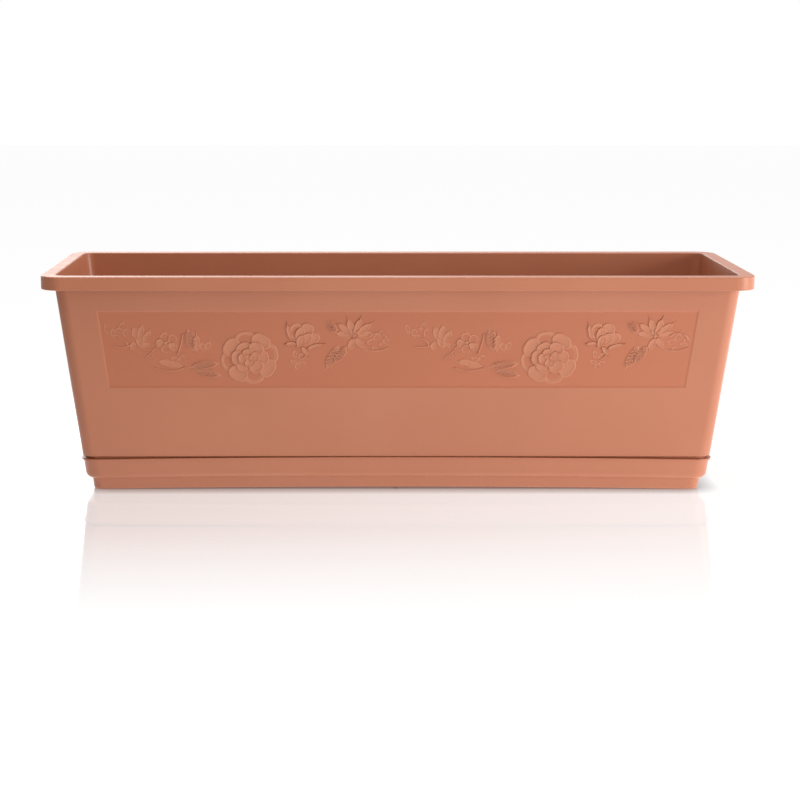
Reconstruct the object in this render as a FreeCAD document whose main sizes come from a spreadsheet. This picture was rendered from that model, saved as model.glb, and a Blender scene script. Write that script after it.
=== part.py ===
"""Window box planter: a leaning-walled trough with a flanged rim, and the stepped drip tray it stands in.

The frame has +Z up and +X along the box, and the front is -Y. The origin is the middle of the tray's
underside, on the ground. Lengths are millimetres and angles are degrees.
"""

import FreeCAD, Part

import math
import os

import Sketcher
from FreeCAD import Placement, Rotation, Vector

# Each driving dimension: its alias, its value, and what it is.
DIMENSIONS = [
    ("rim_length", 600, "overall length, over the rim"),
    ("rim_width", 200, "overall width, over the rim"),
    ("total_height", 190, "ground to the top of the rim"),
    ("rim_overhang", 11, "skirt's outer face to the wall's, at the skirt's lower edge"),
    ("rim_drop", 11.5, "height of the rim's skirt"),
    ("rim_thickness", 2, "thickness of the rim's flange and skirt"),
    ("rim_corner", 18, "corner radius of the rim, in plan"),
    ("rim_rounding", 1.2, "rounding of the rim's upper edges"),
    ("wall_draft", 6.5, "lean of every wall from upright"),
    ("wall_thickness", 2.2, "thickness of the trough's walls, measured level"),
    ("wall_corner", 11, "corner radius of the trough, in plan"),
    ("floor_thickness", 2.6, "thickness of the trough's floor"),
    ("floor_rounding", 4, "rounding where the walls meet the floor, inside"),
    ("seat_height", 14.1, "ground to the trough's underside, on the tray's ribs"),
    ("foot_inset", 2.4, "how far the trough's foot is stepped in, inside the tray"),
    ("foot_top", 31, "ground to the top of that step"),
    ("foot_rounding", 3, "rounding of the trough's lower edge"),
    ("small_rounding", 0.6, "rounding of the lesser edges"),
    ("panel_low", 92.5, "ground to the lower edge of the front panel"),
    ("panel_high", 160, "ground to the upper edge of the front panel"),
    ("panel_margin", 33, "end of the front wall to the end of the panel"),
    ("panel_depth", 0.4, "depth of the front panel's recess"),
    ("panel_slope", 75, "lean of the recess's edges, from square to the wall"),
    ("drain_diameter", 9, "drain holes in the trough's floor"),
    ("drain_spacing", 88, "drain to drain, along the box"),
    ("drain_row_spacing", 72, "one row of drains to the other"),
    ("drains_in_row", 6, "drains in each row"),
    ("tray_height", 28.5, "ground to the top of the tray's lip"),
    ("tray_thickness", 1.8, "thickness of the tray"),
    ("tray_proud", 0.2, "how far the tray's upper wall stands out of the trough's wall line"),
    ("tray_corner", 13.5, "corner radius of the tray's upper wall, in plan"),
    ("tray_step_height", 10, "ground to the tray's shoulder, outside"),
    ("tray_ledge_height", 11.8, "ground to the tray's ledge, inside the shoulder"),
    ("tray_step_in", 5.7, "how far the tray's base is stepped in under the shoulder"),
    ("tray_shoulder", 5.5, "rounding of the tray's shoulder"),
    ("tray_base_rounding", 1.5, "rounding of the tray's lower edge"),
    ("sump_rounding", 1, "rounding where the tray's base meets its floor, inside"),
    ("lip_width", 1.4, "how far the tray's lip stands out of its wall"),
    ("lip_height", 1.6, "height of the tray's lip"),
    ("pad_width", 9, "width of the raised band that the tray stands on, round its underside"),
    ("pad_height", 1, "how far the rest of the underside clears the ground"),
    ("pad_corner", 4, "inner corner radius of that band, in plan"),
    ("rib_thickness", 2, "thickness of the support ribs on the tray's floor"),
    ("rib_length", 96, "length of the support ribs, across the tray"),
    ("rib_spacing", 176, "rib to rib, along the tray"),
    ("rib_count", 3, "support ribs"),
]

# Where a sketch is drawn before its dimensions move it: half a length, half a width, and a radius.
ROUGH_OUTLINE = (250, 80, 10)

EDGE_NEAR = 0.05  # how near an edge lies to the outline that picks it
EDGES_IN_OUTLINE = 8


def make_sheet():
    """Puts the driving dimensions in a spreadsheet, each under its alias."""
    sheet = doc.addObject("Spreadsheet::Sheet", "Dimensions")
    for row, (alias, size, meaning) in enumerate(DIMENSIONS, start=1):
        sheet.set(f"A{row}", alias)
        sheet.set(f"B{row}", str(size))
        sheet.setAlias(f"B{row}", alias)
        sheet.set(f"C{row}", meaning)
    doc.recompute()
    return sheet


def cell(alias):
    """An expression for a driving dimension."""
    return f"Dimensions.{alias}"


def number(alias):
    """The value of a driving dimension."""
    return float(sheet.get(alias))


# Outlines. Every level outline is a rounded rectangle, given as three expressions:
# half its length, half its width, and its corner radius.


def rim_outline(inset):
    """The rim's outer outline, moved in."""
    half_sides = [f"{cell(side)} / 2 - ({inset})" for side in ("rim_length", "rim_width")]
    return *half_sides, f"{cell('rim_corner')} - ({inset})"


def wall_outline(height, inset, corner):
    """The trough's outer wall at a height, moved in."""
    below_skirt = f"({cell('total_height')} - {cell('rim_drop')} - ({height}))"
    lean = f"tan({cell('wall_draft')} * 1 deg) * {below_skirt}"
    inward = f"({cell('rim_overhang')} + {lean} + ({inset}))"
    half_sides = [f"{cell(side)} / 2 - {inward}" for side in ("rim_length", "rim_width")]
    return *half_sides, corner


def tray_outline(height, inset, corner=None):
    """The outer face of the tray's upper wall at a height, moved in."""
    own_corner = f"{cell('tray_corner')} - ({inset})"
    return wall_outline(height, f"({inset}) - {cell('tray_proud')}", corner or own_corner)


# Sketches.


def origin_feature(body, role):
    """One of a body's own origin planes or axes."""
    return next(item for item in body.Origin.OriginFeatures if item.Role == role)


def new_sketch(body, name, role):
    """A sketch on one of a body's origin planes."""
    sketch = body.newObject("Sketcher::SketchObject", name)
    sketch.AttachmentSupport = (origin_feature(body, role), [""])
    sketch.MapMode = "FlatFace"
    return sketch


def level_sketch(body, name, height, *outlines):
    """A level sketch of rounded rectangles, at a height."""
    sketch = new_sketch(body, name, "XY_Plane")
    sketch.setExpression(".AttachmentOffset.Base.z", height)
    for outline in outlines:
        draw_rounded_rectangle(sketch, outline)
    return sketch


def add_sized(sketch, name, size, kind, *points_and_drawn_size):
    """Adds a dimension to a sketch, at the size that is drawn, and binds it to an expression."""
    index = sketch.addConstraint(Sketcher.Constraint(kind, *points_and_drawn_size))
    sketch.renameConstraint(index, name)
    sketch.setExpression(f"Constraints.{name}", size)


def draw_sides(sketch, points):
    """Draws straight sides from point to point, and round to the first again."""
    for start, end in zip(points, points[1:] + points[:1]):
        sketch.addGeometry(Part.LineSegment(Vector(*start, 0), Vector(*end, 0)))


def join_sides(sketch):
    """Joins the four straight sides of a sketch end to end."""
    for side in range(4):
        sketch.addConstraint(Sketcher.Constraint("Coincident", side, 2, (side + 1) % 4, 1))


def draw_rounded_rectangle(sketch, outline):
    """Draws an outline about a sketch's origin: four sides from the front one on, then four corner arcs."""
    half_length, half_width, corner = outline
    first = sketch.GeometryCount
    x, y, r = ROUGH_OUTLINE
    starts = [(-x + r, -y), (x, -y + r), (x - r, y), (-x, y - r)]
    ends = [(x - r, -y), (x, y - r), (-x + r, y), (-x, -y + r)]
    centres = [(x - r, -y + r), (x - r, y - r), (-x + r, y - r), (-x + r, -y + r)]
    for start, end in zip(starts, ends):
        sketch.addGeometry(Part.LineSegment(Vector(*start, 0), Vector(*end, 0)))
    for turn, centre in enumerate(centres):
        circle = Part.Circle(Vector(*centre, 0), Vector(0, 0, 1), r)
        begin = (turn - 1) * math.pi / 2
        sketch.addGeometry(Part.ArcOfCircle(circle, begin, begin + math.pi / 2))

    front, right, back, left, front_right = range(first, first + 5)
    for turn in range(4):
        side = first + turn
        arc = first + 4 + turn
        next_side = first + (turn + 1) % 4
        sketch.addConstraint(Sketcher.Constraint("Tangent", side, 2, arc, 1))
        sketch.addConstraint(Sketcher.Constraint("Tangent", arc, 2, next_side, 1))
        sketch.addConstraint(Sketcher.Constraint("Vertical" if turn % 2 else "Horizontal", side))
        if turn:
            sketch.addConstraint(Sketcher.Constraint("Equal", front_right, arc))

    tag = str(first)
    add_sized(sketch, "corner" + tag, corner, "Radius", front_right, r)
    add_sized(sketch, "right" + tag, half_length, "DistanceX", -1, 1, right, 1, x)
    add_sized(sketch, "left" + tag, half_length, "DistanceX", left, 1, -1, 1, x)
    add_sized(sketch, "back" + tag, half_width, "DistanceY", -1, 1, back, 1, y)
    add_sized(sketch, "front" + tag, half_width, "DistanceY", front, 1, -1, 1, y)


# Features. Each changes the volume of its body, and is checked for that.


def finish(body, feature, grows):
    """Recomputes a body's new feature, and checks that it added or took away material."""
    volume_before = 0 if body.Shape.isNull() else body.Shape.Volume
    body.Tip = feature
    doc.recompute()
    change = feature.Shape.Volume - volume_before
    if (change > 0) != grows:
        raise ValueError(f"{feature.Name} changed the volume by {change:.1f}")
    return feature


def pad(body, name, sketch, length):
    """Raises a sketch along its normal."""
    feature = body.newObject("PartDesign::Pad", name)
    feature.Profile = sketch
    feature.setExpression("Length", length)
    return finish(body, feature, grows=True)


def pocket(body, name, sketch, length, reverse=True, slope="0"):
    """Cuts a sketch into a body: along its normal, or against it where reverse is false.

    A slope leans the pocket's edges in, in degrees from square to the sketch.
    """
    feature = body.newObject("PartDesign::Pocket", name)
    feature.Profile = sketch
    feature.Reversed = reverse
    feature.setExpression("Length", length)
    feature.setExpression("TaperAngle", f"-({slope}) * 1 deg")
    return finish(body, feature, grows=False)


def loft(body, name, sections, adds):
    """A ruled loft through level sketches, added to a body or taken from it."""
    kind = "AdditiveLoft" if adds else "SubtractiveLoft"
    feature = body.newObject(f"PartDesign::{kind}", name)
    feature.Profile = sections[0]
    feature.Sections = sections[1:]
    feature.Ruled = True
    return finish(body, feature, grows=adds)


def repeat_along(body, name, original, spacing, count):
    """A row of copies of a feature, towards +X."""
    feature = body.newObject("PartDesign::LinearPattern", name)
    feature.Originals = [original]
    feature.Direction = (origin_feature(body, "X_Axis"), [""])
    feature.Mode = "Spacing"
    feature.setExpression("Offset", spacing)
    feature.setExpression("Occurrences", count)
    return finish(body, feature, grows=original.TypeId == "PartDesign::Pad")


def outline_edges(shape, sketch, height):
    """Names of the level edges of a shape that lie on a sketch's outer outline, at a height."""
    half_length = sketch.getDatum("right0").Value
    half_width = sketch.getDatum("back0").Value
    names = []
    for index, edge in enumerate(shape.Edges, start=1):
        box = edge.BoundBox
        length_over = max(abs(box.XMin), abs(box.XMax)) - half_length
        width_over = max(abs(box.YMin), abs(box.YMax)) - half_width
        height_over = max(abs(box.ZMin - height), abs(box.ZMax - height))
        if height_over < EDGE_NEAR and abs(max(length_over, width_over)) < EDGE_NEAR:
            names.append(f"Edge{index}")
    return names


def round_outline(body, name, sketch, radius, height=None):
    """Rounds the edges on a level sketch's outer outline: at the sketch's height, or at another."""
    base = body.Tip
    level = sketch.Placement.Base.z if height is None else height
    edges = outline_edges(base.Shape, sketch, level)
    if len(edges) != EDGES_IN_OUTLINE:
        raise ValueError(f"{name} found {len(edges)} edges")
    feature = body.newObject("PartDesign::Fillet", name)
    feature.Base = (base, edges)
    feature.setExpression("Radius", radius)
    body.Tip = feature
    doc.recompute()
    return feature


# The trough.


def make_trough():
    body = doc.addObject("PartDesign::Body", "trough")
    top = cell("total_height")
    skirt_low = f"{top} - {cell('rim_drop')}"
    thickness = cell("wall_thickness")
    corner = cell("wall_corner")
    inner_corner = f"{corner} - {thickness}"
    seat = cell("seat_height")
    foot_top = cell("foot_top")
    foot_inset = cell("foot_inset")
    foot_inside = f"{foot_inset} + {thickness}"
    floor = f"{seat} + {cell('floor_thickness')}"
    step_inside = f"{foot_top} + {thickness}"

    # The rim is a cap with a turned-down skirt. The walls pass up through it, and the hollow opens it.
    rim = level_sketch(body, "RimOutline", skirt_low, rim_outline("0"))
    pad(body, "Rim", rim, cell("rim_drop"))
    under = level_sketch(body, "RimUndersideOutline", skirt_low, rim_outline(cell("rim_thickness")))
    pocket(body, "RimUnderside", under, f"{cell('rim_drop')} - {cell('rim_thickness')}")

    wall_low = level_sketch(body, "WallLow", foot_top, wall_outline(foot_top, "0", corner))
    wall_high = level_sketch(body, "WallHigh", top, wall_outline(top, "0", corner))
    loft(body, "Walls", [wall_low, wall_high], adds=True)
    foot_low = level_sketch(body, "FootLow", seat, wall_outline(seat, foot_inset, corner))
    foot_high = level_sketch(body, "FootHigh", foot_top, wall_outline(foot_top, foot_inset, corner))
    loft(body, "Foot", [foot_low, foot_high], adds=True)

    inside_low = level_sketch(body, "InsideLow", step_inside,
                              wall_outline(step_inside, thickness, inner_corner))
    inside_high = level_sketch(body, "InsideHigh", top, wall_outline(top, thickness, inner_corner))
    loft(body, "Hollow", [inside_low, inside_high], adds=False)
    base_low = level_sketch(body, "FootInsideLow", floor, wall_outline(floor, foot_inside, inner_corner))
    base_high = level_sketch(body, "FootInsideHigh", step_inside,
                             wall_outline(step_inside, foot_inside, inner_corner))
    loft(body, "FootHollow", [base_low, base_high], adds=False)

    cut_panel(body)
    cut_drains(body, seat)

    small = cell("small_rounding")
    round_outline(body, "RimTopRounding", rim, cell("rim_rounding"), number("total_height"))
    round_outline(body, "RimMouthRounding", inside_high, cell("rim_rounding"))
    round_outline(body, "SkirtRounding", rim, small)
    round_outline(body, "StepRounding", wall_low, small)
    round_outline(body, "FootRounding", foot_low, cell("foot_rounding"))
    round_outline(body, "FloorRounding", base_low, cell("floor_rounding"))
    return body


def cut_panel(body):
    """The shallow panel in the front wall, whose ends lean as the ends of the wall do."""
    low = cell("panel_low")
    high = cell("panel_high")
    sketch = new_sketch(body, "PanelOutline", "XZ_Plane")
    sketch.AttachmentOffset = Placement(Vector(), Rotation(Vector(1, 0, 0), number("wall_draft")))
    sketch.setExpression(".AttachmentOffset.Rotation.Angle", f"{cell('wall_draft')} * 1 deg")
    sketch.setExpression(".AttachmentOffset.Base.y", low)
    sketch.setExpression(".AttachmentOffset.Base.z", wall_outline(low, "0", "0")[1])

    low_half = wall_outline(low, cell("panel_margin"), "0")[0]
    high_half = wall_outline(high, cell("panel_margin"), "0")[0]
    rise = f"({high} - {low}) / cos({cell('wall_draft')} * 1 deg)"
    x, y, spread = ROUGH_OUTLINE
    draw_sides(sketch, [(-x, 0), (x, 0), (x + spread, y), (-x - spread, y)])
    join_sides(sketch)
    for end in (1, 2):
        sketch.addConstraint(Sketcher.Constraint("PointOnObject", 0, end, -1))
    add_sized(sketch, "low_right", low_half, "DistanceX", -1, 1, 0, 2, x)
    add_sized(sketch, "low_left", low_half, "DistanceX", 0, 1, -1, 1, x)
    add_sized(sketch, "high_right", high_half, "DistanceX", -1, 1, 2, 1, x + spread)
    add_sized(sketch, "high_left", high_half, "DistanceX", 2, 2, -1, 1, x + spread)
    add_sized(sketch, "right_rise", rise, "DistanceY", -1, 1, 2, 1, y)
    add_sized(sketch, "left_rise", rise, "DistanceY", -1, 1, 2, 2, y)
    pocket(body, "Panel", sketch, cell("panel_depth"), reverse=False, slope=cell("panel_slope"))


def cut_drains(body, seat):
    """Two rows of round drain holes through the floor."""
    along = f"({cell('drains_in_row')} - 1) * {cell('drain_spacing')} / 2"
    x, y, radius = ROUGH_OUTLINE
    sketch = level_sketch(body, "DrainOutline", seat)
    for row, side in enumerate((-1, 1)):
        sketch.addGeometry(Part.Circle(Vector(-x, side * y, 0), Vector(0, 0, 1), radius))
        add_sized(sketch, f"along{row}", along, "DistanceX", row, 3, -1, 1, x)
        add_sized(sketch, f"bore{row}", cell("drain_diameter"), "Diameter", row, 2 * radius)
    half_rows = f"{cell('drain_row_spacing')} / 2"
    add_sized(sketch, "front", half_rows, "DistanceY", 0, 3, -1, 1, y)
    add_sized(sketch, "back", half_rows, "DistanceY", -1, 1, 1, 3, y)
    first_drains = pocket(body, "FirstDrains", sketch, cell("floor_thickness"))
    repeat_along(body, "Drains", first_drains, cell("drain_spacing"), cell("drains_in_row"))


# The drip tray.


def make_tray():
    body = doc.addObject("PartDesign::Body", "drip_tray")
    top = cell("tray_height")
    step = cell("tray_step_height")
    step_in = cell("tray_step_in")
    thickness = cell("tray_thickness")
    ledge = cell("tray_ledge_height")
    floor = f"{cell('pad_height')} + {thickness}"

    base_low = level_sketch(body, "BaseLow", "0", tray_outline("0", step_in))
    base_high = level_sketch(body, "BaseHigh", step, tray_outline(step, step_in))
    loft(body, "Base", [base_low, base_high], adds=True)
    upper_low = level_sketch(body, "UpperLow", step, tray_outline(step, "0"))
    upper_high = level_sketch(body, "UpperHigh", top, tray_outline(top, "0"))
    loft(body, "Upper", [upper_low, upper_high], adds=True)

    band_inside = tray_outline("0", f"{step_in} + {cell('pad_width')}", cell("pad_corner"))
    underside = level_sketch(body, "UndersideOutline", "0", band_inside)
    pocket(body, "Underside", underside, cell("pad_height"))

    ledge_low = level_sketch(body, "LedgeOutline", ledge, tray_outline(ledge, thickness))
    ledge_high = level_sketch(body, "MouthOutline", top, tray_outline(top, thickness))
    loft(body, "Hollow", [ledge_low, ledge_high], adds=False)
    sump_low = level_sketch(body, "SumpLow", floor, tray_outline(floor, f"{step_in} + {thickness}"))
    sump_high = level_sketch(body, "SumpHigh", ledge, tray_outline(ledge, f"{step_in} + {thickness}"))
    loft(body, "Sump", [sump_low, sump_high], adds=False)

    round_outline(body, "ShoulderRounding", upper_low, cell("tray_shoulder"))
    round_outline(body, "LedgeRounding", ledge_low, f"{cell('tray_shoulder')} - {thickness}")
    round_outline(body, "BaseRounding", base_low, cell("tray_base_rounding"))
    round_outline(body, "SumpRounding", sump_low, cell("sump_rounding"))
    add_lip(body, top)
    add_ribs(body, floor)
    return body


def add_lip(body, top):
    """The thin lip that stands out all round the tray's mouth."""
    outline = tray_outline(top, f"-{cell('lip_width')}")
    mid_wall = tray_outline(top, f"{cell('tray_thickness')} / 2")
    lip = level_sketch(body, "LipOutline", f"{top} - {cell('lip_height')}", outline, mid_wall)
    pad(body, "Lip", lip, cell("lip_height"))
    round_outline(body, "LipTopRounding", lip, cell("small_rounding"), number("tray_height"))
    round_outline(body, "LipLowRounding", lip, cell("small_rounding"))


def add_ribs(body, floor):
    """Upright ribs across the tray's floor, which hold the trough just clear of the ledge."""
    first_rib = f"({cell('rib_count')} - 1) * {cell('rib_spacing')} / 2"
    half_length = f"{cell('rib_length')} / 2"
    x, y, width = ROUGH_OUTLINE
    sketch = level_sketch(body, "RibOutline", floor)
    draw_sides(sketch, [(-x, -y), (-x + width, -y), (-x + width, y), (-x, y)])
    join_sides(sketch)
    for side in range(4):
        sketch.addConstraint(Sketcher.Constraint("Vertical" if side % 2 else "Horizontal", side))
    left_face = f"{first_rib} + {cell('rib_thickness')} / 2"
    right_face = f"{first_rib} - {cell('rib_thickness')} / 2"
    add_sized(sketch, "left_face", left_face, "DistanceX", 3, 1, -1, 1, x)
    add_sized(sketch, "right_face", right_face, "DistanceX", 1, 1, -1, 1, x - width)
    add_sized(sketch, "front", half_length, "DistanceY", 0, 1, -1, 1, y)
    add_sized(sketch, "back", half_length, "DistanceY", -1, 1, 2, 1, y)
    rib = pad(body, "Rib", sketch, f"{cell('seat_height')} - ({floor})")
    repeat_along(body, "Ribs", rib, cell("rib_spacing"), cell("rib_count"))


def check_document():
    """Stops if any object of the document has failed."""
    for item in doc.Objects:
        if "Invalid" in item.State or "Error" in item.State:
            raise ValueError(f"{item.Name} is {item.State}")


def export(body):
    """Writes a sub-part as STEP, named by its label, after checking its shape."""
    shape = body.Shape
    if shape.isNull() or not shape.isValid() or len(shape.Solids) != 1:
        raise ValueError(f"{body.Label} isn't one valid solid")
    shape.exportStep(f"parts/{body.Label}.step")
    box = shape.BoundBox
    print(f"{body.Label}: {box.XLength:.1f} x {box.YLength:.1f} x {box.ZLength:.1f} mm, "
          f"{shape.Volume / 1000:.1f} cm3")


doc = FreeCAD.newDocument("window_box_planter")
sheet = make_sheet()
sub_parts = [make_trough(), make_tray()]
doc.recompute()
check_document()
os.makedirs("parts", exist_ok=True)
for sub_part in sub_parts:
    export(sub_part)
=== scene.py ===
import math

import bpy
from mathutils import Matrix, Vector


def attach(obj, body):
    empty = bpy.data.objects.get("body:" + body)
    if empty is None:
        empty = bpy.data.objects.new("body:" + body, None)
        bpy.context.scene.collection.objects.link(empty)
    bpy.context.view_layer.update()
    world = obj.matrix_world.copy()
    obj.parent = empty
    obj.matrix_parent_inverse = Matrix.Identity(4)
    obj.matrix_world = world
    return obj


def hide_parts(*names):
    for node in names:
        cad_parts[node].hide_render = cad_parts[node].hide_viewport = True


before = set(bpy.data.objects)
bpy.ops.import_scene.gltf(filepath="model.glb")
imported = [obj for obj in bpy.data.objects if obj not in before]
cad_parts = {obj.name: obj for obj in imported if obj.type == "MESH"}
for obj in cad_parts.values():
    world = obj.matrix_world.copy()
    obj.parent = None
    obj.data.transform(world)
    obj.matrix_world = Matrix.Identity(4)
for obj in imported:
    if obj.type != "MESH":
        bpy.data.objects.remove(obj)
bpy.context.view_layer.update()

# A terracotta-coloured plastic window box in its drip tray. Metres, with +Z up and the front facing -Y.

MM = 0.001

# The trough's front wall, as it is moulded: it leans out by this much from upright.
WALL_LEAN = math.radians(6.5)
PANEL_LOW = 92.5 * MM
PANEL_HALF_LENGTH = 254 * MM
PANEL_DEPTH = 0.4 * MM
# Half the trough's width at the ground, if the leaning front wall went on down to it.
WALL_AT_GROUND = 68.66 * MM


# Selecting and editing.


def start_fresh():
    """Leaves nothing selected, so that an operator acts only on what comes next."""
    bpy.ops.object.select_all(action="DESELECT")


def select_only(piece):
    """Selects one piece, for the operators that follow."""
    start_fresh()
    piece.select_set(True)
    bpy.context.view_layer.objects.active = piece


def pick(piece, elements, wanted):
    """Selects the faces or vertices of a piece that a test wants, and goes to edit mode."""
    bpy.ops.object.mode_set(mode="EDIT")
    bpy.ops.mesh.select_mode(type="FACE" if elements == "faces" else "VERT")
    bpy.ops.mesh.select_all(action="DESELECT")
    bpy.ops.object.mode_set(mode="OBJECT")
    mesh = piece.data
    for element in mesh.polygons if elements == "faces" else mesh.vertices:
        element.select = wanted(element)
    bpy.ops.object.mode_set(mode="EDIT")


def pick_all():
    """Selects the whole piece in edit mode."""
    bpy.ops.object.mode_set(mode="EDIT")
    bpy.ops.mesh.select_all(action="SELECT")


def object_mode():
    """Leaves edit mode."""
    bpy.ops.object.mode_set(mode="OBJECT")


def settle(piece):
    """Puts a piece's place, turn and size into its mesh."""
    select_only(piece)
    bpy.ops.object.transform_apply(location=True, rotation=True, scale=True)


def apply_modifier(piece, kind, **settings):
    """Adds a modifier to a piece and applies it."""
    select_only(piece)
    modifier = piece.modifiers.new(kind.title(), kind)
    for name, value in settings.items():
        setattr(modifier, name, value)
    bpy.ops.object.modifier_apply(modifier=modifier.name)


def join_pieces(pieces, name):
    """Joins several pieces into one, under a name."""
    start_fresh()
    for piece in pieces:
        piece.select_set(True)
    bpy.context.view_layer.objects.active = pieces[0]
    bpy.ops.object.join()
    pieces[0].name = name
    return pieces[0]


# The drip tray. It is moulded straight, but has warped: its middle stands a little off the ground.

LIP_HALF_LENGTH = 273.5 * MM
LIP_HALF_WIDTH = 73.5 * MM
LIP_CORNER = 14.9 * MM
LIP_TOP = 28.5 * MM
LIP_HEIGHT = 1.6 * MM
LIP_WIDTH = 1.4 * MM
TRAY_WALL = 1.8 * MM
SHOULDER = 5.5 * MM
SHOULDER_HEIGHT = 10 * MM
LEDGE_HEIGHT = 11.8 * MM
BASE_SET_IN = 5.7 * MM
BASE_ROUNDING = 1.5 * MM
FLOOR_TOP = 2.8 * MM
SUMP_ROUNDING = 1 * MM
EDGE_ROUNDING = 0.4 * MM
STANDING_BAND = 7.5 * MM
UNDERSIDE_RISE = 1 * MM
TRAY_WARP = 2.2 * MM
RIB_TOP = 14.1 * MM
RIB_LENGTH = 96 * MM
RIB_THICKNESS = 2 * MM
RIB_SPACING = 176 * MM
RIB_SUNK = 0.5 * MM  # how deep a rib's foot is sunk in the tray's floor


class LevelFace:
    """The selected level face of a piece in edit mode, which is drawn up or down and in by steps."""

    def __init__(self, half_length, half_width, outwards):
        self.half_length = half_length
        self.half_width = half_width
        self.outwards = outwards

    def lean(self, inward, rise):
        """A leaning wall, or a level band where the rise is 0. Its corners hardly change their radius."""
        bpy.ops.mesh.extrude_region_move(TRANSFORM_OT_translate={"value": (0, 0, rise)})
        scale_x = (self.half_length - inward) / self.half_length
        scale_y = (self.half_width - inward) / self.half_width
        bpy.ops.transform.resize(value=(scale_x, scale_y, 1), center_override=(0, 0, 0))
        self.half_length -= inward
        self.half_width -= inward

    def turn_in(self, radius, steps=4):
        """A quarter round down, from an upright wall to level."""
        quarter = math.pi / 2
        for step in range(steps):
            begin, end = quarter * step / steps, quarter * (step + 1) / steps
            inward = radius * (math.cos(begin) - math.cos(end))
            depth = -radius * self.outwards * (math.sin(end) - math.sin(begin))
            bpy.ops.mesh.inset(thickness=inward, depth=depth)
            self.half_length -= inward
            self.half_width -= inward


def make_tray():
    """Draws the outside down from the lip, a thin rounded slab, and the hollow into it."""
    start_fresh()
    bpy.ops.mesh.primitive_cube_add(size=1, location=(0, 0, LIP_TOP - LIP_HEIGHT / 2))
    tray = bpy.context.object
    tray.scale = (2 * LIP_HALF_LENGTH, 2 * LIP_HALF_WIDTH, LIP_HEIGHT)
    settle(tray)
    round_upright_edges(tray, LIP_CORNER)
    slope = math.tan(WALL_LEAN)

    lip_low = LIP_TOP - LIP_HEIGHT
    shoulder_top = SHOULDER_HEIGHT + SHOULDER
    pick(tray, "faces", lambda face: face.normal.z < -0.9)
    outside = LevelFace(LIP_HALF_LENGTH, LIP_HALF_WIDTH, outwards=-1)
    outside.lean(LIP_WIDTH, 0)
    outside.lean((lip_low - shoulder_top) * slope, shoulder_top - lip_low)
    outside.turn_in(SHOULDER)
    outside.lean(BASE_SET_IN - SHOULDER, 0)
    outside.lean((SHOULDER_HEIGHT - BASE_ROUNDING) * slope, BASE_ROUNDING - SHOULDER_HEIGHT)
    outside.turn_in(BASE_ROUNDING, steps=3)
    outside.lean(STANDING_BAND, 0)
    outside.lean(0, UNDERSIDE_RISE)
    object_mode()

    inner_shoulder = SHOULDER - TRAY_WALL
    wall_foot = LEDGE_HEIGHT + inner_shoulder
    floor_turn = FLOOR_TOP + SUMP_ROUNDING
    pick(tray, "faces", lambda face: face.normal.z > 0.9 and face.center.z > lip_low)
    inside = LevelFace(LIP_HALF_LENGTH, LIP_HALF_WIDTH, outwards=1)
    inside.lean(LIP_WIDTH + TRAY_WALL, 0)
    inside.lean((LIP_TOP - wall_foot) * slope, wall_foot - LIP_TOP)
    inside.turn_in(inner_shoulder)
    inside.lean(BASE_SET_IN - inner_shoulder, 0)
    inside.lean((LEDGE_HEIGHT - floor_turn) * slope, floor_turn - LEDGE_HEIGHT)
    inside.turn_in(SUMP_ROUNDING, steps=3)
    object_mode()

    apply_modifier(tray, "BEVEL", width=EDGE_ROUNDING, segments=2, limit_method="ANGLE",
                   angle_limit=math.radians(40))
    cut_across(tray, LIP_HALF_LENGTH, cuts=21)
    raise_middle(tray, LIP_HALF_LENGTH - BASE_SET_IN, TRAY_WARP)
    ribs = [make_rib(place * RIB_SPACING) for place in (-1, 0, 1)]
    tray = join_pieces([tray] + ribs, "warped_drip_tray")
    shade(tray, degrees=35)
    return tray


def round_upright_edges(piece, radius):
    """Rounds the four upright edges of a slab."""
    bpy.ops.object.mode_set(mode="EDIT")
    bpy.ops.mesh.select_mode(type="EDGE")
    bpy.ops.mesh.select_all(action="DESELECT")
    object_mode()
    corners = piece.data.vertices
    for edge in piece.data.edges:
        along = corners[edge.vertices[0]].co - corners[edge.vertices[1]].co
        edge.select = abs(along.z) > 0.9 * along.length
    bpy.ops.object.mode_set(mode="EDIT")
    bpy.ops.mesh.bevel(offset=radius, segments=10, affect="EDGES")
    object_mode()


def cut_across(piece, half_length, cuts):
    """Cuts a long piece across at even steps, so that it can bend."""
    for cut in range(1, cuts + 1):
        pick_all()
        place = half_length * (2 * cut / (cuts + 1) - 1)
        bpy.ops.mesh.bisect(plane_co=(place, 0, 0), plane_no=(1, 0, 0))
    object_mode()


def raise_middle(piece, half_length, rise):
    """Lifts a piece's middle, and the rest less and less towards its ends."""
    pick(piece, "vertices", lambda vertex: abs(vertex.co.x) < 0.01 * MM)
    bpy.ops.transform.translate(value=(0, 0, rise), use_proportional_edit=True,
                                proportional_edit_falloff="INVERSE_SQUARE",
                                proportional_size=half_length)
    object_mode()


def make_rib(place):
    """An upright rib on the tray's floor, with rounded edges."""
    start_fresh()
    foot = FLOOR_TOP - RIB_SUNK
    bpy.ops.mesh.primitive_cube_add(size=1, location=(place, 0, (RIB_TOP + foot) / 2))
    rib = bpy.context.object
    rib.scale = (RIB_THICKNESS, RIB_LENGTH, RIB_TOP - foot)
    settle(rib)
    pick(rib, "faces", lambda face: face.normal.z > 0.9)
    bpy.ops.mesh.bevel(offset=EDGE_ROUNDING, segments=2, affect="EDGES")
    object_mode()
    return rib


def shade(piece, degrees):
    """Shades a piece smooth, except at edges sharper than an angle."""
    select_only(piece)
    bpy.ops.object.shade_smooth_by_angle(angle=math.radians(degrees))


# The relief on the front panel: a garland of roses and leaves, modelled lying flat and then stood
# up against the panel. Its own measures are millimetres from the garland's middle, on the panel's
# lower edge. The same garland comes twice, side by side.

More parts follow.
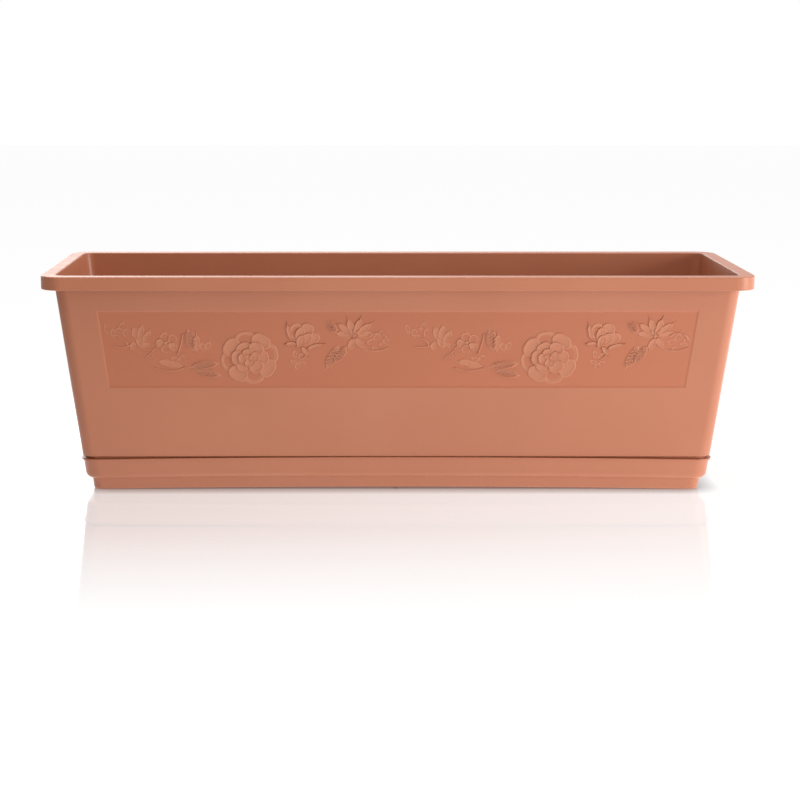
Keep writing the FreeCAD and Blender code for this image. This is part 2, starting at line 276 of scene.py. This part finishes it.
GARLAND_MIDDLES = {"left": -125 * MM, "right": 129.5 * MM}
SUNK = 0.5  # how deep the relief's pieces are sunk in the panel

# Petals and leaves start as a disc one across and one high, whose top is stepped in: each step is a
# width and a rise.
DISC_CORNERS = 12
PETAL_STEPS = ((0.06, 0.10), (0.06, -0.20), (0.16, -0.14))
LEAF_STEPS = ((0.09, 0.06), (0.09, -0.24))

# The side veins of a large leaf, at these shares of its length from its middle.
VEIN_PLACES = (-0.30, -0.17, -0.04, 0.09, 0.22)
VEIN_BOW = 0.15
VEIN_THICKNESS = 0.55


def stepped_disc(steps):
    """A disc with its top stepped in, to shape before it is laid."""
    start_fresh()
    bpy.ops.mesh.primitive_cylinder_add(vertices=DISC_CORNERS, radius=0.5, depth=1,
                                        location=(0, 0, 0.5))
    piece = bpy.context.object
    pick(piece, "faces", lambda face: face.normal.z > 0.9)
    for width, rise in steps:
        bpy.ops.mesh.inset(thickness=width, depth=rise)
    object_mode()
    return piece


def lay(piece, x, y, length, width, height, turn, lift):
    """Gives a piece of the relief its size, turn and place on the panel."""
    piece.scale = (width, length, height + SUNK)
    piece.rotation_euler = (0, 0, math.radians(turn))
    piece.location = (x, y, lift - SUNK)
    settle(piece)
    return piece


def petal(x, y, length, width, height, turn, lift=0):
    """A broad petal: a thin raised rim round a hollow, with a shallow notch at its tip."""
    piece = stepped_disc(PETAL_STEPS)
    pick(piece, "vertices", lambda vertex: vertex.co.y < -0.2)
    bpy.ops.transform.resize(value=(0.62, 1, 1), center_override=(0, 0, 0))
    object_mode()
    pick(piece, "vertices", lambda vertex: vertex.co.y > 0.35 and abs(vertex.co.x) < 0.05)
    bpy.ops.transform.translate(value=(0, -0.06, 0))
    object_mode()
    apply_modifier(piece, "SUBSURF", levels=1, render_levels=1)
    return lay(piece, x, y, length, width, height, turn, lift)


def leaf(x, y, length, width, height, turn, hook=0, lift=0):
    """A pointed leaf with a raised rim and middle vein, whose tip may hook to one side."""
    piece = stepped_disc(LEAF_STEPS)
    pick_all()
    bpy.ops.mesh.bisect(plane_co=(0, 0, 0), plane_no=(1, 0, 0))
    object_mode()
    apply_modifier(piece, "SUBSURF", levels=1, render_levels=1)
    pick(piece, "vertices", lambda vertex: abs(vertex.co.x) < 0.01 and vertex.co.z > 0.6)
    bpy.ops.transform.translate(value=(0, 0, 0.16))
    object_mode()
    pick(piece, "vertices", lambda vertex: abs(vertex.co.y) > 0.36)
    bpy.ops.transform.resize(value=(0.5, 1, 1), center_override=(0, 0, 0))
    object_mode()
    pick(piece, "vertices", lambda vertex: vertex.co.y > 0.45)
    bpy.ops.transform.translate(value=(hook * 0.5, 0.22, -0.12))
    object_mode()
    pick(piece, "vertices", lambda vertex: 0.1 < vertex.co.y < 0.5)
    bpy.ops.transform.translate(value=(hook * 0.15, 0, 0))
    object_mode()
    return lay(piece, x, y, length, width, height, turn, lift)


def veined_leaf(x, y, length, width, height, turn, hook=0, lift=0):
    """A large leaf with raised side veins, slanted towards its tip."""
    pieces = [leaf(x, y, length, width, height, turn, hook, lift)]
    stand = Matrix.Rotation(math.radians(turn), 2)
    middle = Vector((x, y))
    for share in VEIN_PLACES:
        for hand in (-1, 1):
            inner = Vector((hand * 0.05 * width, share * length))
            reach = width * (0.40 - abs(share) * 0.5)
            outer = inner + Vector((hand * reach, 0.12 * length))
            pieces.append(twig(middle + stand @ inner, middle + stand @ outer, VEIN_BOW,
                               VEIN_THICKNESS, lift=height * 0.86 + lift, steps=3))
    return pieces


def twig(start, end, bow, thickness=1.3, lift=0, steps=8):
    """A thin stem from point to point, half sunk, that bows to its left by the given distance."""
    start, end = Vector((*start, lift)), Vector((*end, lift))
    chord = end - start
    side = Vector((-chord.y, chord.x, 0)).normalized()
    radius = (chord.length ** 2 / 4 + bow ** 2) / (2 * abs(bow))
    centre = (start + end) / 2 + side * (bow - math.copysign(radius, bow))
    sweep = 2 * math.asin(chord.length / (2 * radius))
    start_fresh()
    bpy.ops.mesh.primitive_circle_add(vertices=6, radius=thickness / 2, fill_type="NGON",
                                      location=start, rotation=(math.pi / 2, 0, 0))
    piece = bpy.context.object
    towards = start - centre
    piece.rotation_euler.z = math.atan2(towards.y, towards.x)
    settle(piece)
    pick_all()
    bpy.ops.mesh.spin(steps=steps, angle=math.copysign(sweep, bow), center=centre, axis=(0, 0, 1))
    bpy.ops.mesh.select_all(action="SELECT")
    bpy.ops.mesh.normals_make_consistent(inside=False)
    object_mode()
    return piece


def ring_of_petals(middle, radius, count, first_turn, squash=1, lift=0, **shape):
    """Petals round a middle, pointing outwards, every second one a little higher."""
    pieces = []
    for place in range(count):
        turn = first_turn + 360 * place / count
        angle = math.radians(turn + 90)
        x = middle[0] + radius * math.cos(angle)
        y = middle[1] + radius * squash * math.sin(angle)
        pieces.append(petal(x, y, turn=turn, lift=lift + 0.22 * (place % 2), **shape))
    return pieces


def spray(leaves, width, height, **more):
    """Single leaves, each given by its place, length and turn."""
    return [leaf(x, y, length, width, height, turn, **more) for x, y, length, turn in leaves]


def full_rose(x, y):
    """The open rose in the garland's middle: three rings of petals round a closed bud."""
    pieces = ring_of_petals((x, y), 17, 8, 12, squash=0.92, length=18, width=20, height=1.0)
    pieces += ring_of_petals((x + 0.5, y), 10, 6, 30, squash=0.85, lift=0.35, length=14, width=15,
                             height=1.2)
    pieces += ring_of_petals((x - 0.5, y), 5.2, 4, 10, squash=0.8, lift=0.8, length=9, width=10.5,
                             height=1.2)
    pieces.append(leaf(x - 1.4, y + 0.4, 7, 5, 1.2, 70, lift=1.0))
    pieces.append(leaf(x + 2, y - 0.6, 6, 3.8, 1.1, 30, lift=1.1))
    return pieces


def half_open_rose(x, y, turn):
    """A rose seen from its side: cupped petals over each other, with narrow sepals round its foot."""
    pieces = []
    stand = Matrix.Rotation(math.radians(turn), 2)
    for side, along, length, width, lean, lift in (
            (-7.5, 0, 18, 11, 24, 0), (7.5, 0, 18, 11, -24, 0.1), (0, 5, 16, 13, 0, 0.2),
            (-3, -1, 17, 9, 12, 0.45), (3.2, -2, 16, 9, -14, 0.6), (0, -5, 13, 8, 0, 0.75)):
        place = stand @ Vector((side, along))
        pieces.append(petal(x + place.x, y + place.y, length, width, 1.0, turn + lean, lift=lift))
    for side, along, length, lean in ((-12, -3, 15, 42), (12.5, -4, 15, -44), (-6, -11, 10, 120),
                                      (7, -11, 10, -118)):
        place = stand @ Vector((side, along))
        pieces.append(leaf(x + place.x, y + place.y, length, 4, 1.0, turn + lean, lift=0.5))
    return pieces


def small_flower(x, y):
    """A flower of five petals, flat open."""
    pieces = ring_of_petals((x, y), 5.6, 5, 20, length=9, width=8.5, height=0.9)
    pieces.append(petal(x, y, 4, 4, 1.2, 0, lift=0.3))
    return pieces


def lily(x, y):
    """A flower of pointed petals that stand up in a fan, with long stamens."""
    pieces = []
    for turn, length, lift in ((-80, 17, 0), (80, 16, 0), (-50, 18, 0.2), (52, 18, 0.2),
                               (-17, 16, 0.4), (21, 16, 0.3), (156, 13, 0.1), (-148, 12, 0.1)):
        angle = math.radians(turn + 90)
        reach = length * 0.56
        pieces.append(leaf(x + reach * math.cos(angle), y + reach * math.sin(angle), length, 6.2, 1.1,
                           turn, lift=lift))
    for turn in (-32, 4, 36):
        angle = math.radians(turn + 90)
        pieces.append(twig((x, y), (x + 7 * math.cos(angle), y + 7 * math.sin(angle)), 0.8, 0.9,
                           lift=0.6))
    pieces.append(petal(x, y, 4.4, 4.4, 1.3, 0, lift=0.5))
    return pieces


def feathered_leaf(start, end, width, leaflets):
    """A stem with pairs of short narrow leaflets, slanted towards its tip, and one at the tip."""
    start, end = Vector(start), Vector(end)
    along = end - start
    turn = math.degrees(math.atan2(along.y, along.x)) - 90
    side = Vector((-along.y, along.x)).normalized()
    pieces = [twig(start, end, 0.6, 0.9)]
    for place in range(leaflets):
        share = (place + 0.5) / leaflets
        reach = width * math.sin(math.pi * (0.15 + 0.75 * share)) / 2
        for hand in (-1, 1):
            spot = start + along * share + side * hand * reach * 0.5
            pieces.append(leaf(spot.x, spot.y, reach * 1.25, 1.9, 0.8, turn + hand * 48))
    pieces.append(leaf(end.x, end.y, width * 0.4, 2.2, 0.8, turn))
    return pieces


def make_garland():
    """The whole garland, from its left end to its right end."""
    # Buds and blades at the left end.
    pieces = spray(((-121, 52, 10, 15), (-116, 49, 8, -10), (-111.5, 51, 8, -50),
                    (-108.5, 54, 11, -25), (-105.5, 49, 9, -15), (-113, 45.5, 7, -100)), 3.8, 0.9)
    pieces.append(twig((-115, 37), (-100.5, 38.5), -1.5))
    pieces.append(twig((-111, 44), (-103, 36.5), 2))
    # A cluster of pointed leaves, with a feathered leaf and a small flower beside it.
    pieces += spray(((-97, 48, 13, 12), (-92, 49, 15, -8), (-87.5, 45, 15, -28), (-99, 37, 9, -4),
                     (-93, 39.5, 12, 35), (-88.5, 37.5, 9, -60)), 5.6, 1.0, hook=0.2)
    pieces += feathered_leaf((-76.5, 40), (-89.5, 26.5), 10, 6)
    pieces += small_flower(-70, 40)
    # Leaves between the small flower and the rose.
    pieces.append(twig((-56.5, 48), (-61.5, 30), 0.8))
    pieces += veined_leaf(-50, 42, 22, 10, 1.1, 16, hook=0.3)
    pieces.append(leaf(-45, 39.5, 17, 6.5, 1.0, -4, hook=-0.3, lift=0.3))
    pieces += spray(((-35.5, 37.5, 9, -20), (-40, 36.5, 9, 20)), 5.4, 0.9)
    pieces += spray(((-64, 26, 8, 70), (-58, 27, 8, -60), (-61, 23, 7, 175)), 4, 0.9)
    pieces.append(leaf(-68, 21, 24, 7.5, 1.0, 82, hook=0.8))
    pieces.append(twig((-81, 18), (-55, 18.5), -3))
    pieces += veined_leaf(-38.5, 20.5, 27, 8, 1.1, 97, hook=-0.4)
    pieces += veined_leaf(-35.5, 13, 24, 7.5, 1.0, 79, hook=0.4)
    pieces += full_rose(-0.5, 27)
    # The half-open rose, with a curled cluster under it.
    pieces += half_open_rose(45.5, 46, -28)
    pieces += spray(((38, 30, 8, 10), (43, 28, 8, -24), (37, 23, 8, 70), (44, 22, 8, -80),
                     (40, 19.5, 7, 160)), 4.4, 0.9)
    pieces.append(twig((48, 34), (42, 25), 2))
    # Two leaves that hang down to the left, the lily, and the tendrils at the right end.
    pieces += veined_leaf(70, 27.5, 25, 8.5, 1.1, 156, hook=0.5)
    pieces += veined_leaf(77, 29.5, 20, 7.5, 1.0, 146, hook=0.4, lift=0.2)
    pieces += veined_leaf(70, 53.5, 14, 6.5, 1.0, 32)
    pieces += lily(89, 45.5)
    pieces.append(twig((91, 38), (117, 36), -4))
    pieces.append(twig((101, 46), (116.5, 43), 4))
    pieces += spray(((102, 41, 9, -55), (107, 45, 9, -30), (111, 48, 8, -8), (113, 38.5, 9, -100),
                     (106, 34.5, 8, -120), (115, 42, 7, -70), (98, 34.5, 7, -140)), 4.2, 0.9)
    return join_pieces(pieces, "garland_left")


def stand_on_panel(garland, middle):
    """Scales a flat garland to metres and stands it against the leaning panel."""
    panel_face = -WALL_AT_GROUND - math.tan(WALL_LEAN) * PANEL_LOW + PANEL_DEPTH / math.cos(WALL_LEAN)
    garland.scale = (MM, MM, MM)
    garland.rotation_euler = (math.pi / 2 + WALL_LEAN, 0, 0)
    garland.location = (middle, panel_face, PANEL_LOW)
    settle(garland)
    shade(garland, degrees=50)


def make_garlands():
    """Both garlands, each with its own mesh."""
    left = make_garland()
    right = left.copy()
    right.data = left.data.copy()
    right.name = "garland_right"
    bpy.context.scene.collection.objects.link(right)
    stand_on_panel(left, GARLAND_MIDDLES["left"])
    stand_on_panel(right, GARLAND_MIDDLES["right"])
    return [left, right]


# Finishes.


# The Mix node has several sockets of one name, so they are told apart by their numbers.
VALUE_A, VALUE_B, VALUE_RESULT = 2, 3, 0
COLOUR_A, COLOUR_B, COLOUR_RESULT = 6, 7, 2


def add_node(owner, kind, *wires, **settings):
    """Adds a node to a material or the world, and feeds its inputs from other nodes or with values."""
    made = owner.node_tree.nodes.new(kind)
    for name, value in settings.items():
        setattr(made, name, value)
    for key, source in wires:
        if isinstance(source, bpy.types.NodeSocket):
            owner.node_tree.links.new(source, made.inputs[key])
        else:
            made.inputs[key].default_value = source
    return made


def new_material(name):
    """A material with nodes, its shader, and its object coordinates."""
    material = bpy.data.materials.new(name)
    material.use_nodes = True
    shader = material.node_tree.nodes["Principled BSDF"]
    place = add_node(material, "ShaderNodeTexCoord").outputs["Object"]
    return material, shader, place


def remap(owner, value, low, high, new_low, new_high):
    """A value between two limits, spread between two others."""
    made = add_node(owner, "ShaderNodeMapRange", ("Value", value), ("From Min", low),
                    ("From Max", high), ("To Min", new_low), ("To Max", new_high))
    return made.outputs["Result"]


def calculate(owner, operation, *values):
    """The result of a Math node."""
    made = add_node(owner, "ShaderNodeMath", *enumerate(values), operation=operation)
    return made.outputs["Value"]


def mix_values(owner, share, first, second):
    """The first value where the share is 0, and the second where it is 1."""
    made = add_node(owner, "ShaderNodeMix", ("Factor", share), (VALUE_A, first), (VALUE_B, second))
    return made.outputs[VALUE_RESULT]


def mix_colours(owner, share, first, second):
    """The first colour where the share is 0, and the second where it is 1."""
    made = add_node(owner, "ShaderNodeMix", ("Factor", share), (COLOUR_A, first),
                    (COLOUR_B, second), data_type="RGBA")
    return made.outputs[COLOUR_RESULT]


# How the panel is told from the rest of the wall, by how far a point lies behind the wall's face.
PANEL_FULL = 0.35 * MM  # from here on, the panel's finish is full
WALL_CORE = (1.2 * MM, 1.5 * MM)  # it fades out here, so that it doesn't show on the inside
PANEL_FADE = 4 * MM  # and it fades out over this length past the panel's ends


def panel_mask(material, place):
    """1 on the recessed panel and 0 elsewhere, from how far a point lies behind the wall's face."""
    depth = add_node(material, "ShaderNodeVectorMath", (0, place), (1, (0, 1, math.tan(WALL_LEAN))),
                     operation="DOT_PRODUCT").outputs["Value"]
    behind = calculate(material, "ADD", depth, WALL_AT_GROUND)
    recessed = remap(material, behind, 0, PANEL_FULL, 0, 1)
    outside = remap(material, behind, *WALL_CORE, 1, 0)
    sides = add_node(material, "ShaderNodeSeparateXYZ", ("Vector", place))
    from_middle = calculate(material, "ABSOLUTE", sides.outputs["X"])
    along = remap(material, from_middle, PANEL_HALF_LENGTH, PANEL_HALF_LENGTH + PANEL_FADE, 1, 0)
    return calculate(material, "MULTIPLY", calculate(material, "MULTIPLY", recessed, outside), along)


WALL_COLOUR = (0.470, 0.165, 0.083, 1)
WALL_COLOUR_DEEP = (0.445, 0.150, 0.073, 1)
# The panel is the same plastic as the wall; its darker, more saturated colour is painted low sheen.
PANEL_PAINTED_LOW_SHEEN_COLOUR = (0.448, 0.136, 0.062, 1)
# The relief is the same plastic as the wall; its lighter colour is a painted sheen.
RELIEF_PAINTED_SHEEN_COLOUR = (0.500, 0.178, 0.090, 1)
TRAY_COLOUR = (0.465, 0.160, 0.080, 1)
PANEL_DULLNESS = 0.14  # how much rougher the panel is than the wall round it
PLASTIC_IOR = 1.49


def moulded_plastic(name, colour, deep_colour, roughness, panel_painted_low_sheen_colour=None):
    """Satin moulded plastic: cloudy in colour, faintly drawn along the box, with a fine grain."""
    material, shader, place = new_material(name)
    cloud = add_node(material, "ShaderNodeTexNoise", ("Vector", place), ("Scale", 7.0),
                     ("Detail", 3.0), ("Roughness", 0.55)).outputs["Fac"]
    clouded = mix_colours(material, remap(material, cloud, 0.35, 0.65, 0, 1), colour, deep_colour)
    drawn = add_node(material, "ShaderNodeMapping", ("Vector", place), ("Scale", (6, 90, 90)))
    streak = add_node(material, "ShaderNodeTexNoise", ("Vector", drawn.outputs["Vector"]),
                      ("Scale", 1.0), ("Detail", 2.0)).outputs["Fac"]
    dullness = remap(material, streak, 0.3, 0.7, roughness - 0.04, roughness + 0.05)
    if panel_painted_low_sheen_colour:
        mask = panel_mask(material, place)
        # On the panel the colour turns darker and more saturated, a painted low sheen; its extra
        # roughness is real.
        clouded = mix_colours(material, mask, clouded, panel_painted_low_sheen_colour)
        dullness = calculate(material, "MULTIPLY_ADD", mask, PANEL_DULLNESS, dullness)
    tree = material.node_tree
    tree.links.new(clouded, shader.inputs["Base Color"])
    tree.links.new(dullness, shader.inputs["Roughness"])
    grain = add_node(material, "ShaderNodeTexNoise", ("Vector", place), ("Scale", 1400.0),
                     ("Detail", 2.0)).outputs["Fac"]
    waves = add_node(material, "ShaderNodeTexNoise", ("Vector", place), ("Scale", 22.0),
                     ("Detail", 1.0)).outputs["Fac"]
    soft = add_node(material, "ShaderNodeBump", ("Height", waves), ("Strength", 0.25),
                    ("Distance", 0.6 * MM))
    fine = add_node(material, "ShaderNodeBump", ("Height", grain), ("Strength", 0.18),
                    ("Distance", 0.05 * MM), ("Normal", soft.outputs["Normal"]))
    tree.links.new(fine.outputs["Normal"], shader.inputs["Normal"])
    shader.inputs["IOR"].default_value = PLASTIC_IOR
    return material


def set_finish(piece, material):
    """Gives a piece one finish all over."""
    piece.data.materials.clear()
    piece.data.materials.append(material)


# The trough's panel gets a darker colour: painted low sheen.
trough_finish = moulded_plastic("trough_plastic", WALL_COLOUR, WALL_COLOUR_DEEP, roughness=0.37,
                                panel_painted_low_sheen_colour=PANEL_PAINTED_LOW_SHEEN_COLOUR)
# The relief's lighter colour is a painted sheen.
relief_painted_sheen_finish = moulded_plastic("relief_plastic_painted_sheen", RELIEF_PAINTED_SHEEN_COLOUR, WALL_COLOUR, roughness=0.42)
tray_finish = moulded_plastic("tray_plastic", TRAY_COLOUR, WALL_COLOUR_DEEP, roughness=0.36)

set_finish(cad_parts["trough"], trough_finish)

tray = make_tray()
set_finish(tray, tray_finish)
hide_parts("drip_tray")
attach(tray, "tray")

for garland in make_garlands():
    set_finish(garland, relief_painted_sheen_finish)
    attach(garland, "trough")


# The floor: a pale glowing sheet, glossy near the object. Its right side throws more light.

FLOOR_SIZE = 12
FLOOR_COLOUR = (0.15, 0.15, 0.15, 1)
GLOW = 0.90
# Near the object, ambient occlusion dims the floor's glow towards the camera: a painted contact shadow.
PAINTED_CONTACT_SHADE_REACH = 18 * MM  # how far from the object the floor is shaded by it
GLOSS_LEFT = 0.43
GLOSS_RIGHT = 0.22
GLOSS_SPREAD = 0.06
GLOSS_FADE = (0.20, 0.43)  # it fades out between these distances in front and behind
GLOSS_FADE_ASIDE = (0.3, 0.6)  # and between these to the left and right
CAST_GLOW_LEFT = 0.38
CAST_GLOW_RIGHT = 1.75
CAST_GLOW_SPAN = (-0.8, 0.45)
OBJECT_SPAN = (-0.3, 0.3)


def make_floor():
    """The floor, with its material."""
    start_fresh()
    bpy.ops.mesh.primitive_plane_add(size=FLOOR_SIZE)
    floor = bpy.context.object
    floor.name = "floor"
    material, shader, place = new_material("pale_floor")
    shader.inputs["Base Color"].default_value = FLOOR_COLOUR
    shader.inputs["Roughness"].default_value = 0.9
    shader.inputs["Specular IOR Level"].default_value = 0.0
    shader.inputs["Emission Color"].default_value = (1, 1, 1, 1)
    sides = add_node(material, "ShaderNodeSeparateXYZ", ("Vector", place))
    along = sides.outputs["X"]
    open_share = add_node(material, "ShaderNodeAmbientOcclusion", ("Distance", PAINTED_CONTACT_SHADE_REACH),
                          samples=8).outputs["AO"]
    # The glow the camera sees is dimmed near the object: a painted contact shadow.
    seen_glow_with_painted_shade = calculate(material, "MULTIPLY", open_share, GLOW)
    cast_glow = remap(material, along, *CAST_GLOW_SPAN, CAST_GLOW_LEFT, CAST_GLOW_RIGHT)
    path = add_node(material, "ShaderNodeLightPath")
    glow = mix_values(material, path.outputs["Is Camera Ray"], cast_glow, seen_glow_with_painted_shade)
    material.node_tree.links.new(glow, shader.inputs["Emission Strength"])
    side_gloss = remap(material, along, *OBJECT_SPAN, GLOSS_LEFT, GLOSS_RIGHT)
    depth = calculate(material, "ABSOLUTE", sides.outputs["Y"])
    aside = calculate(material, "ABSOLUTE", along)
    fade = calculate(material, "MULTIPLY", remap(material, depth, *GLOSS_FADE, 1, 0),
                     remap(material, aside, *GLOSS_FADE_ASIDE, 1, 0))
    gloss = calculate(material, "MULTIPLY", side_gloss, fade)
    mirror = add_node(material, "ShaderNodeBsdfGlossy", ("Color", (1, 1, 1, 1)),
                      ("Roughness", GLOSS_SPREAD))
    mixed = add_node(material, "ShaderNodeMixShader", ("Fac", gloss), (1, shader.outputs["BSDF"]),
                     (2, mirror.outputs["BSDF"]))
    output = material.node_tree.nodes["Material Output"]
    material.node_tree.links.new(mixed.outputs["Shader"], output.inputs["Surface"])
    set_finish(floor, material)


make_floor()


# Light: a white backdrop and ceiling in a room that is darker at the left and in front, and two lamps.

# ROOM_LIGHT is how much of the world's light matt surfaces get, and the others are each side's share.
# A shine is for glossy surfaces only.
ROOM_LIGHT = 0.31
LEFT_LIGHT = 0.02
LEFT_SHINE = 0.75
FRONT_LIGHT = 0.35
CEILING_LIGHT = 2.1
BACKDROP_SHINE_LEFT = 2.8
BACKDROP_SHINE_RIGHT = 0.9

# The part of each direction's run from -1 to 1 over which the light changes.
LEFT_TO_MIDDLE = (-0.85, -0.25)
FRONT_TO_MIDDLE = (-0.8, 0.1)
WALLS_TO_CEILING = (0.3, 0.8)
WALLS_TO_BACKDROP = (0.5, 0.85)
BACKDROP_LEFT_TO_RIGHT = (-0.2, 0.1)


def make_world():
    """Plain white to the camera. It lights matt surfaces less, and shines most at the back left."""
    world = bpy.data.worlds.new("white_room")
    bpy.context.scene.world = world
    world.use_nodes = True
    background = world.node_tree.nodes["Background"]
    background.inputs["Color"].default_value = (1, 1, 1, 1)
    path = add_node(world, "ShaderNodeLightPath")
    direction = add_node(world, "ShaderNodeTexCoord").outputs["Generated"]
    sides = add_node(world, "ShaderNodeSeparateXYZ", ("Vector", direction))
    along, across, up = (sides.outputs[axis] for axis in "XYZ")
    on_matt = path.outputs["Is Diffuse Ray"]
    left_side = mix_values(world, on_matt, LEFT_SHINE, LEFT_LIGHT)
    from_left = remap(world, along, *LEFT_TO_MIDDLE, left_side, 1)
    from_front = remap(world, across, *FRONT_TO_MIDDLE, FRONT_LIGHT, 1)
    from_above = remap(world, up, *WALLS_TO_CEILING, FRONT_LIGHT, CEILING_LIGHT)
    from_sides = calculate(world, "MAXIMUM", from_front, from_above)
    backdrop = remap(world, along, *BACKDROP_LEFT_TO_RIGHT, BACKDROP_SHINE_LEFT,
                     BACKDROP_SHINE_RIGHT)
    shine = remap(world, across, *WALLS_TO_BACKDROP, 1, backdrop)
    strength = mix_values(world, on_matt, shine, ROOM_LIGHT)
    light = calculate(world, "MULTIPLY", calculate(world, "MULTIPLY", from_left, from_sides),
                      strength)
    seen = mix_values(world, path.outputs["Is Camera Ray"], light, 1.0)
    world.node_tree.links.new(seen, background.inputs["Strength"])


LAMP_AIM = Vector((0, 0, 0.1))


def soft_lamp(name, location, width, height, power):
    """A rectangular lamp that faces the object."""
    lamp_data = bpy.data.lights.new(name, "AREA")
    lamp_data.shape = "RECTANGLE"
    lamp_data.size = width
    lamp_data.size_y = height
    lamp_data.energy = power
    lamp = bpy.data.objects.new(name, lamp_data)
    bpy.context.scene.collection.objects.link(lamp)
    lamp.location = location
    lamp.rotation_euler = (LAMP_AIM - Vector(location)).to_track_quat("-Z", "Y").to_euler()


make_world()
soft_lamp("right_lamp", location=(2.0, -1.0, 0.42), width=0.8, height=0.8, power=28)
soft_lamp("overhead_lamp", location=(0.1, -0.15, 1.5), width=1.2, height=0.8, power=8)


# The camera, at the photograph's viewing angle.

CAMERA_PLACE = (-0.0365, -1.5809, 0.3713)
CAMERA_DIP = 0.190257  # how far it looks down, in radians
CAMERA_LENS = 80.59
CAMERA_SHIFT = 0.0572

camera_data = bpy.data.cameras.new("camera")
camera_data.lens = CAMERA_LENS
camera_data.shift_x = CAMERA_SHIFT
camera = bpy.data.objects.new("camera", camera_data)
camera.location = CAMERA_PLACE
camera.rotation_euler = (math.pi / 2 - CAMERA_DIP, 0, 0)
bpy.context.scene.collection.objects.link(camera)
bpy.context.scene.camera = camera
bpy.context.scene.view_settings.view_transform = "Standard"
